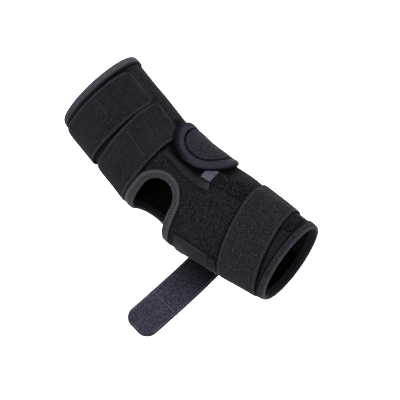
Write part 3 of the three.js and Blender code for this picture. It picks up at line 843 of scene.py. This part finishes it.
def makeStrap(name, threadName, strap, lieAt, finish, node):
    length = (strap["to"] - strap["from"]) * mmPerDegree
    width, thickness = strapCut["width"], strapCut["thickness"]
    seamsAt = [(s - strap["from"]) * mmPerDegree for s in strap["seams"]]

    def edgeAt(x, y):
        return min(width / 2 - abs(x), length / 2 - (y if strap["openEnd"] else abs(y)))

    def place(x, y, z):
        turn = strap["from"] + (y + length / 2) / mmPerDegree
        along, low = lieAt(strap, turn, x, length / 2 - y)
        relief = strapRelief(edgeAt(x, y), [y + length / 2 - s for s in seamsAt])
        return pointOn(along, turn, low + z + z / thickness * relief)

    # Pale hems along the edges are partly the hem's own tone and partly painted highlight where the edges
    # catch light; painted shade darkens the strap's underside and lower side walls
    shade = (lambda x, y: 1 - smooth(edgeAt(x, y), 0.6, 2.0),
             lambda x, y, z: 0.8 * (1 - smooth(z, 0.5, strapCut["dustTo"])))
    inset = width / 2 - strapCut["hemAt"]
    start, end = strap["threadInset"]
    seams = [seam((x, start - length / 2), (x, length / 2 - end), thickness) for x in (-inset, inset)]
    if strap["openEnd"]:
        y = length / 2 - strapCut["hemAt"]
        seams.append(seam((3 - inset, y), (inset - 3, y), thickness))
    seams += [seam((4 - inset, s - length / 2), (inset - 4, s - length / 2), thickness) for s in seamsAt]
    makeSheet(name, (width, length), strapCut, place, shade, finish, "strap", node,
              (threadName, place, seams))


makeStrap("upperStrapCloth", "upperStrapClothStitches", upperStrap, upperLie, strapCloth, "upper_strap")
makeStrap("lowerStrapCloth", "lowerStrapClothStitches", lowerStrap, upperLie, strapCloth, "lower_strap")


# Coarse patch and splint pocket, which lie under the straps
def makeCoarsePatch():
    length, width = coarsePatch["front"] - coarsePatch["back"], coarsePatch["width"]

    def place(x, y, z):
        along = coarsePatch["back"] + x + length / 2
        turn = mix(*patchEdges(along), y / width + 0.5)
        rough = coarsePatch["rough"] * noise.noise(Vector((x * 1.3, y * 1.3, 2))) * (z > 1)
        return pointOn(along, turn, clearance + z + rough)

    makeSheet("coarsePatchCloth", (length, width), coarsePatch, place, (), coarseCloth, "coarse",
              "coarse_patch")


def makePocket():
    length, width = pocket["front"] - pocket["back"], (pocket["to"] - pocket["from"]) * mmPerDegree

    def place(x, y, z):
        turn = mix(pocket["from"], pocket["to"], y / width + 0.5)
        front = min(pocket["front"], coverBack(turn, cover["beside"]))
        along = mix(pocket["back"], front, x / length + 0.5)
        edge = width / 2 - abs(y)
        return pointOn(along, turn, clearance + z - 0.3 * bell(edge - pocket["seamAt"], 0.5) * z)

    # Painted shade beside the strap ends
    def crease(x, y, z):
        along = mix(pocket["back"], pocket["front"], x / length + 0.5)
        return besideStraps(along, mix(pocket["from"], pocket["to"], y / width + 0.5))

    makeSheet("splintPocketCloth", (length, width), pocket, place, (None, crease), padCloth, "pad_cloth",
              "splint_pocket")


makeCoarsePatch()
makePocket()
makeStrap("forearmStrapCloth", "forearmStrapStitches", forearmStrap, forearmLie, dottedStrap, "forearm_strap")

# Open strap: sewn on at the far side, leaves the sleeve at a tangent and hangs free
openStrap = {"root": -212.0, "exit": -155.0, "width": 39.5, "length": 145.0, "along": 68.15, "forward": 0.46,
             "tip": 14.0, "settle": 0.4, "seamAt": 101.0, "relief": 0.7, "curl": 0.9, "sway": 0.8}


def makeOpenStrap():
    wrapped = (openStrap["exit"] - openStrap["root"]) * mmPerDegree
    length = wrapped + openStrap["length"]
    width, thickness = openStrap["width"], strapCut["thickness"]
    start = pointOn(openStrap["along"], openStrap["exit"], clearance) * 1000
    before = pointOn(openStrap["along"], openStrap["exit"] - 1, clearance) * 1000
    leaving = (start - before).normalized()
    dropTo = Vector((0, -openStrap["forward"], -1)).normalized()
    rootTilt = axisAt(openStrap["along"])[2]

    def fibre(share):
        d = share * openStrap["length"]
        settling = (1 - share) * openStrap["settle"]
        return start + leaving * d * settling + dropTo * d * (1 - settling)

    def place(x, y, z):
        run = y + length / 2 - wrapped
        edge = min(width / 2 - abs(x), length / 2 - y)
        seamRelief = strapRelief(edge, [run - openStrap["seamAt"]])
        relief = (2 * z / thickness - 1) * openStrap["relief"] * seamRelief
        turn = openStrap["exit"] + run / mmPerDegree
        near = pointOn(openStrap["along"] + x, turn, clearance + z + relief)
        if run < 0:
            return near
        share = run / openStrap["length"]
        inset = cornerInset(length / 2 - y, openStrap["tip"])
        down = (fibre(share + 0.01) - fibre(share - 0.01)).normalized()
        tilt = rootTilt * (1 - smooth(share, 0, 0.5))
        side = Vector((math.cos(tilt), 0, math.sin(tilt)))
        side = (side - down * side.dot(down)).normalized()
        face = side.cross(down).normalized()
        across = x * (1 - 2 * inset / width)
        curl = openStrap["curl"] * smooth(share, 0.1, 0.9) * (2 * x / width) ** 2
        curl += openStrap["sway"] * math.sin(share * 7.0) * smooth(share, 0.1, 0.5)
        spot = fibre(share) + side * across + face * (z + relief + curl)
        return near.lerp(spot / 1000, smooth(run, 0, 6))

    # Painted shade: dark where the strap comes out from under the sleeve, and a thin line beside its cross
    # seam
    def crease(x, y, z):
        run = y + length / 2 - wrapped
        return max(0.9 * (1 - smooth(run, 36, 70)), 0.4 * bell(run - openStrap["seamAt"] - 1.2, 0.9))

    shade = (lambda x, y: 1 - smooth(min(width / 2 - abs(x), length / 2 - y), 1.4, 3.4), crease)
    inset, end = width / 2 - strapCut["hemAt"], length / 2
    y = wrapped + openStrap["seamAt"] - end
    seams = []
    for height in (thickness + 0.1, -2.5 * stitch["lift"]):  # the thread shows on both faces
        seams += [seam((x, 3 - end), (x, end - 12), height) for x in (-inset, inset)]
        seams.append(seam((12 - inset, end - 2.6), (inset - 12, end - 2.6), height))
        seams.append(seam((1 - inset, y), (inset - 1, y), height, 2.8))
    makeSheet("openStrapCloth", (width, length), strapCut, place, shade, openStrapCloth, "strap",
              "open_strap", ("openStrapStitches", place, seams, paleThread))


makeOpenStrap()
print("stage: straps made")

# Hinge pad: a smooth puckered pad below the cover, and the pale gusset in front of it
hingePad = {"back": -26.0, "front": 48.0, "slant": 4.0, "from": 19.5, "reach": 10.6, "width": 11.0,
            "thickness": 2.4, "edge": [(0.0, 0.5), (0.2, 2.2), (0.5, 0.2), (0.82, -1.2), (1.0, 1.2)],
            "crown": 1.2, "gathers": 0.85, "waves": 0.75, "endDip": 0.8, "seams": (0.9, 3.0), "step": 0.9,
            "rim": 0.5}
gusset = {"back": 30.0, "front": 42.7, "width": 15.0, "thickness": 1.2, "abovePad": 0.9, "step": 1.2,
          "rim": 0.3}


def padTop(along):
    return min(coverLow(along, cover["beside"]), hingePad["from"] + hingePad["reach"])


def makeHingePad():
    length, width = hingePad["front"] - hingePad["back"], hingePad["width"]

    def place(x, y, z):
        share = x / length + 0.5
        across = clamp(y / width + 0.5)
        along = mix(hingePad["back"], hingePad["front"] - hingePad["slant"] * across, share)
        turn = mix(hingePad["from"] + curveThrough(hingePad["edge"], share), padTop(along), across)
        crown = hingePad["crown"] * math.sin(math.pi * across) ** 0.6
        gather = smooth(share, 0.80, 0.985)  # towards the front end
        wave = math.sin(across * 5 - share * 19) * smooth(share, 0.15, 0.5) * (1 - gather)
        pucker = hingePad["gathers"] * gather * math.sin(across * 21 + 2.2 * math.sin(share * 9))
        pucker += hingePad["waves"] * wave - hingePad["endDip"] * bell(share - 0.965, 0.012)
        return pointOn(along, turn, clearance + z + z / hingePad["thickness"] * (crown + pucker - 0.9))

    # Painted shade: darker towards the cover and along the lower edge, lighter on the crown
    def crease(x, y, z):
        return max(0.85 * smooth(y, 0, width / 2 - 0.5), 0.6 * smooth(-y, width / 2 - 3, width / 2))

    piece = flatSlab("hingePadCloth", length, width, hingePad["thickness"], hingePad["step"], hingePad["rim"])
    wrap(piece, place, lambda x, y: smooth(x, length / 2 - 9, length / 2 - 2), crease)
    finishPiece(piece, "pad_cloth", padCloth, "hinge_pad")
    edge = width / 2 - 1.2
    sewStitches("hingePadStitches", place, [
        seam((length / 2 - s, -edge), (length / 2 - s, edge), hingePad["thickness"], 1.9)
        for s in hingePad["seams"]])


def makeGusset():
    length, width = gusset["front"] - gusset["back"], gusset["width"]

    def place(x, y, z):
        along = gusset["back"] + x + length / 2
        low = padTop(along) + gusset["abovePad"]
        high = min(coverLow(along, cover["beside"]), coarsePatch["start"][1])
        return pointOn(along, mix(low, high, y / width + 0.5), clearance + z)

    makeSheet("hingeGussetCloth", (length, width), gusset, place, (), gussetCloth, "pad_cloth",
              "hinge_gusset")


makeHingePad()
makeGusset()

# Hinge cover: a soft round middle, swelled by cloth simulation, inside a padded rim spun from its section
coverMiddle = {"gap": 0.35, "bevel": 0.3, "depth": 5.0, "middle": 2.9, "voxel": 1.3, "pressure": 4.0,
               "steps": 20, "mostMove": 1.3, "top": 5.6, "crown": 1.9, "seamAt": 25.6, "seamDepth": 0.75,
               "shoulder": 0.9, "unevenness": 0.25, "pitch": 3.9}
coverRim = {"section": [(30.2, 0.0), (30.0, 4.8), (30.15, 5.3), (30.9, 5.5), (31.8, 5.25), (32.4, 4.75),
                        (33.0, 5.2), (34.4, 5.4), (36.2, 5.2), (37.5, 4.6), (38.3, 3.4), (38.5, 1.8),
                        (38.2, 0.0)], "seamAt": 32.4, "seamHeight": 4.75, "steps": 120}


def sewRing(name, placeAt, radius, height, pitch):
    def ring(x, y, z):
        angle = y / cover["halfReach"]
        return placeAt(x * math.cos(angle), x * math.sin(angle), z)

    way = math.tau * cover["halfReach"]
    sewStitches(name, ring, [seam((radius, 0), (radius, way), height, pitch)])


def swellCloth(piece):
    swell = piece.modifiers.new("Swell", "CLOTH")
    swell.settings.use_pressure = True
    swell.settings.uniform_pressure_force = coverMiddle["pressure"]
    swell.settings.effector_weights.gravity = 0.0
    swell.settings.mass = 0.3
    scene = bpy.context.scene
    for step in range(1, coverMiddle["steps"] + 1):
        scene.frame_set(step)
    selectOnly(piece)
    bpy.ops.object.modifier_apply(modifier=swell.name)
    scene.frame_set(1)


def makeCoverMiddle():
    radius = cover["halfReach"] - cover["rimWidth"] - coverMiddle["gap"]
    bpy.ops.object.select_all(action="DESELECT")
    bpy.ops.mesh.primitive_cylinder_add(vertices=72, radius=radius - coverMiddle["bevel"],
                                        depth=coverMiddle["depth"], location=(0, 0, coverMiddle["middle"]))
    piece = newPiece("hingeCoverCloth")
    placePrimitive()
    applyModifier(piece, "REMESH", mode="VOXEL", voxel_size=coverMiddle["voxel"])
    flat = [v.co.copy() for v in piece.data.vertices]
    swellCloth(piece)
    for v, before in zip(piece.data.vertices, flat):
        move = v.co - before
        if move.length > coverMiddle["mostMove"]:
            v.co = before + move.normalized() * coverMiddle["mostMove"]
        r = math.hypot(v.co.x, v.co.y)
        if r > radius:
            v.co.x, v.co.y = v.co.x * radius / r, v.co.y * radius / r
        v.co.z = clamp(v.co.z, 0.0, coverMiddle["top"])
    applyModifier(piece, "SUBSURF", levels=1, render_levels=1)
    seamAt = coverMiddle["seamAt"]
    near = [z for x, y, z in (v.co for v in piece.data.vertices)
            if abs(math.hypot(x, y) - seamAt) < 1.5 and z > 4]

    def shaped(x, y, z):
        r = math.hypot(x, y)
        crown = coverMiddle["crown"] * (1 - (r / radius) ** 2)
        crown -= coverMiddle["seamDepth"] * bell(r - seamAt, 0.7)
        crown += coverMiddle["shoulder"] * smooth(r, radius - 3.2, radius - 0.6)
        crown += coverMiddle["unevenness"] * noise.noise(Vector((x / 9, y / 9, 4)))
        return coverPlace(x, y, z + clamp(z / 5.2) * crown)

    wrap(piece, shaped)
    finishPiece(piece, "cover", coverCloth, "hinge_cover")
    sewRing("hingeCoverStitches", shaped, seamAt, sum(near) / len(near), coverMiddle["pitch"])


def makeCoverRim():
    bpy.ops.object.select_all(action="DESELECT")
    bpy.ops.mesh.primitive_circle_add(vertices=len(coverRim["section"]), radius=1)
    piece = newPiece("hingeCoverRimCloth")
    for v, (r, z) in zip(piece.data.vertices, coverRim["section"]):
        v.co = (r, 0, z)
    bpy.ops.object.mode_set(mode="EDIT")
    bpy.ops.mesh.select_all(action="SELECT")
    bpy.ops.mesh.subdivide(number_cuts=1, smoothness=0.6)
    bpy.ops.mesh.spin(steps=coverRim["steps"], angle=math.tau, center=(0, 0, 0), axis=(0, 0, 1))
    bpy.ops.mesh.select_all(action="SELECT")
    bpy.ops.mesh.remove_doubles(threshold=0.001)
    pointOutwards()
    bpy.ops.object.mode_set(mode="OBJECT")

    # Painted shade on the rim's low outer wall and on the wall that faces the shoulder
    def crease(x, y, z):
        r = math.hypot(x, y)
        low = (1 - smooth(z, 1.5, 4.6)) * (r > 35)
        towardsShoulder = smooth((-0.9 * x - 0.4 * y) / r, 0.0, 0.7)
        return max(low, 0.85 * towardsShoulder * smooth(r, 34.0, 36.8))

    wrap(piece, coverPlace, None, crease)
    finishPiece(piece, "binding", rimCloth, "hinge_cover_rim")
    sewRing("hingeCoverRimStitches", coverPlace, coverRim["seamAt"], coverRim["seamHeight"], stitch["pitch"])


makeCoverMiddle()
makeCoverRim()
print("stage: hinge cover made")

# Patch and small tab at the root of the open strap. Their ridges take up some extra cloth.
rootPatch = {"back": 37.9, "front": 81.9, "from": -103.0, "to": -44.0, "ridgeExtra": 1.0, "slot": "pad_cloth"}
rootTab = {"back": 82.7, "front": 91.4, "from": -100.0, "to": -46.0, "ridgeExtra": 1.5, "slot": "binding"}
rootCut = {"thickness": 1.2, "step": 1.2, "rim": 0.35}


def makeRootPiece(name, patch, relief, crease, seamsOf, node):
    length, width = patch["front"] - patch["back"], (patch["to"] - patch["from"]) * mmPerDegree
    thickness = rootCut["thickness"]

    def place(x, y, z):
        along = patch["back"] + x + length / 2
        turn = patch["from"] + (y + width / 2) / mmPerDegree
        return pointOn(along, turn, clearance + z + z / thickness * relief(x, y, length, width))

    # Pale ends: painted highlight on the end ridges
    shade = (lambda x, y: 1 - smooth(length / 2 - abs(x), 0.8, 2.4), crease)
    makeSheet(name, (length, width), rootCut, place, shade, patchCloth, patch["slot"], node,
              (name + "Stitches", place, seamsOf(length / 2, width / 2)))


def patchRelief(x, y, length, width):
    fromBack = x + length / 2
    ridges = 0.7 * bell(fromBack - 1.6, 0.9) + 0.5 * bell(fromBack - length + 1.2, 0.8)
    return ridges - 0.3 * bell(width / 2 - y - 2.0, 0.6) + 0.25 * noise.noise(Vector((x / 12, y / 12, 1)))


def tabRelief(x, y, length, width):
    ridges = 0.8 * bell(x + length / 2 - 1.0, 0.9) + 0.8 * bell(x - length / 2 + 1.6, 0.9)
    return ridges - 0.5 * bell(x, 2.2) + 0.6 * bell(width / 2 - y - 0.8, 0.9)


# Painted shade: the tab is darkened throughout, most in its middle dip, as the shade of the recess it lies in
def tabPaintedShade(x, y, z):
    return 0.6 + 0.35 * bell(x, 2.6)


def patchSeams(x, y):
    ends = [((4 - x, y - 2), (x - 3, y - 2)), ((3.2 - x, 2 - y), (3.2 - x, y - 3)),
            ((x - 2.6, 2 - y), (x - 2.6, y - 3))]
    return [seam(start, end, rootCut["thickness"]) for start, end in ends]


def tabSeams(x, y):  # a small cross at each end
    return [seam((-2.4, side * (y - 4) - run * 3), (2.4, side * (y - 4) + run * 3), rootCut["thickness"], 2.5)
            for side in (-1, 1) for run in (-1, 1)]


makeRootPiece("rootPatchCloth", rootPatch, patchRelief, None, patchSeams, "strap_root_patch")
makeRootPiece("rootTabCloth", rootTab, tabRelief, tabPaintedShade, tabSeams, "root_tab")
bpy.data.objects.remove(stitchPattern)
print("stage: patches made")

# Camera at the photograph's angle
view = {"azimuth": 15.9, "elevation": 8.0, "roll": -40.5, "distance": 3.0, "lens": 245.5, "aside": 0.0284,
        "above": 0.0037}
azimuth, elevation, roll = (math.radians(view[k]) for k in ("azimuth", "elevation", "roll"))
level = Vector((math.cos(azimuth), math.sin(azimuth), 0))
beyond = Vector((-math.sin(azimuth), math.cos(azimuth), 0))
lookAlong = beyond * math.cos(elevation) - Vector((0, 0, math.sin(elevation)))
upright = level.cross(lookAlong)
imageRight = level * math.cos(roll) - upright * math.sin(roll)
imageUp = level * math.sin(roll) + upright * math.cos(roll)
camera = bpy.data.objects.new("camera", bpy.data.cameras.new("camera"))
bpy.context.collection.objects.link(camera)
camera.data.lens = view["lens"]
camera.data.sensor_width = 36
camera.data.clip_end = 100
target = level * view["aside"] + upright * view["above"]
turned = Matrix((imageRight, imageUp, -lookAlong)).transposed().to_4x4()
camera.matrix_world = Matrix.Translation(target - lookAlong * view["distance"]) @ turned
bpy.context.scene.camera = camera

# Pale floor drawn up as a backdrop, soft light
studio = {"floorAt": -0.26, "size": 11.0, "height": 5.0, "paint": (0.95, 0.95, 0.95, 1), "worldLight": 0.6,
          "keyPower": 35.0, "fillPower": 24.0, "sidePower": 13.0, "backPower": 260.0}
bpy.ops.object.select_all(action="DESELECT")
bpy.ops.mesh.primitive_plane_add(size=studio["size"], location=(0, 0, studio["floorAt"]),
                                 rotation=(0, 0, azimuth))
floor = newPiece("floor")
bpy.ops.object.mode_set(mode="EDIT")
bpy.context.tool_settings.mesh_select_mode = (False, True, False)
bpy.ops.mesh.select_all(action="DESELECT")
sweep = bmesh.from_edit_mesh(floor.data)
for edge in sweep.edges:  # the far side
    edge.select = all(v.co.y > 0 for v in edge.verts)
bmesh.update_edit_mesh(floor.data)
bpy.ops.mesh.extrude_region_move(TRANSFORM_OT_translate={"value": (0, 0, studio["height"])})
bpy.ops.object.mode_set(mode="OBJECT")
floorPaint = bpy.data.materials.new("palePaint")
floorPaint.use_nodes = True
floorPaint.node_tree.nodes["Principled BSDF"].inputs["Base Color"].default_value = studio["paint"]
floorPaint.node_tree.nodes["Principled BSDF"].inputs["Roughness"].default_value = 0.9
floor.data.materials.append(floorPaint)
world = bpy.data.worlds.new("studio")
world.use_nodes = True
world.node_tree.nodes["Background"].inputs["Color"].default_value = (1, 1, 1, 1)
world.node_tree.nodes["Background"].inputs["Strength"].default_value = studio["worldLight"]
bpy.context.scene.world = world


def softLight(name, power, size, place, aim=Vector((0, 0, 0))):
    lamp = bpy.data.objects.new(name, bpy.data.lights.new(name, "AREA"))
    lamp.data.energy = studio[power]
    lamp.data.size = size
    lamp.location = place
    lamp.rotation_euler = (aim - place).to_track_quat("-Z", "Y").to_euler()
    bpy.context.collection.objects.link(lamp)


softLight("keyLight", "keyPower", 1.1, (imageUp * 1.0 - lookAlong * 0.75 - imageRight * 0.15) * 1.8)
softLight("fillLight", "fillPower", 1.6, beyond * 1.5 + Vector((0, 0, 0.9)) - imageRight * 0.5)
softLight("sideLight", "sidePower", 1.4, level * 1.7 - beyond * 0.3 + Vector((0, 0, 0.9)))
softLight("backdropLight", "backPower", 3.0, beyond * 2.4 + Vector((0, 0, 2.2)), beyond * 4.6)
bpy.context.scene.view_settings.view_transform = "Standard"
print("stage: camera and light set")
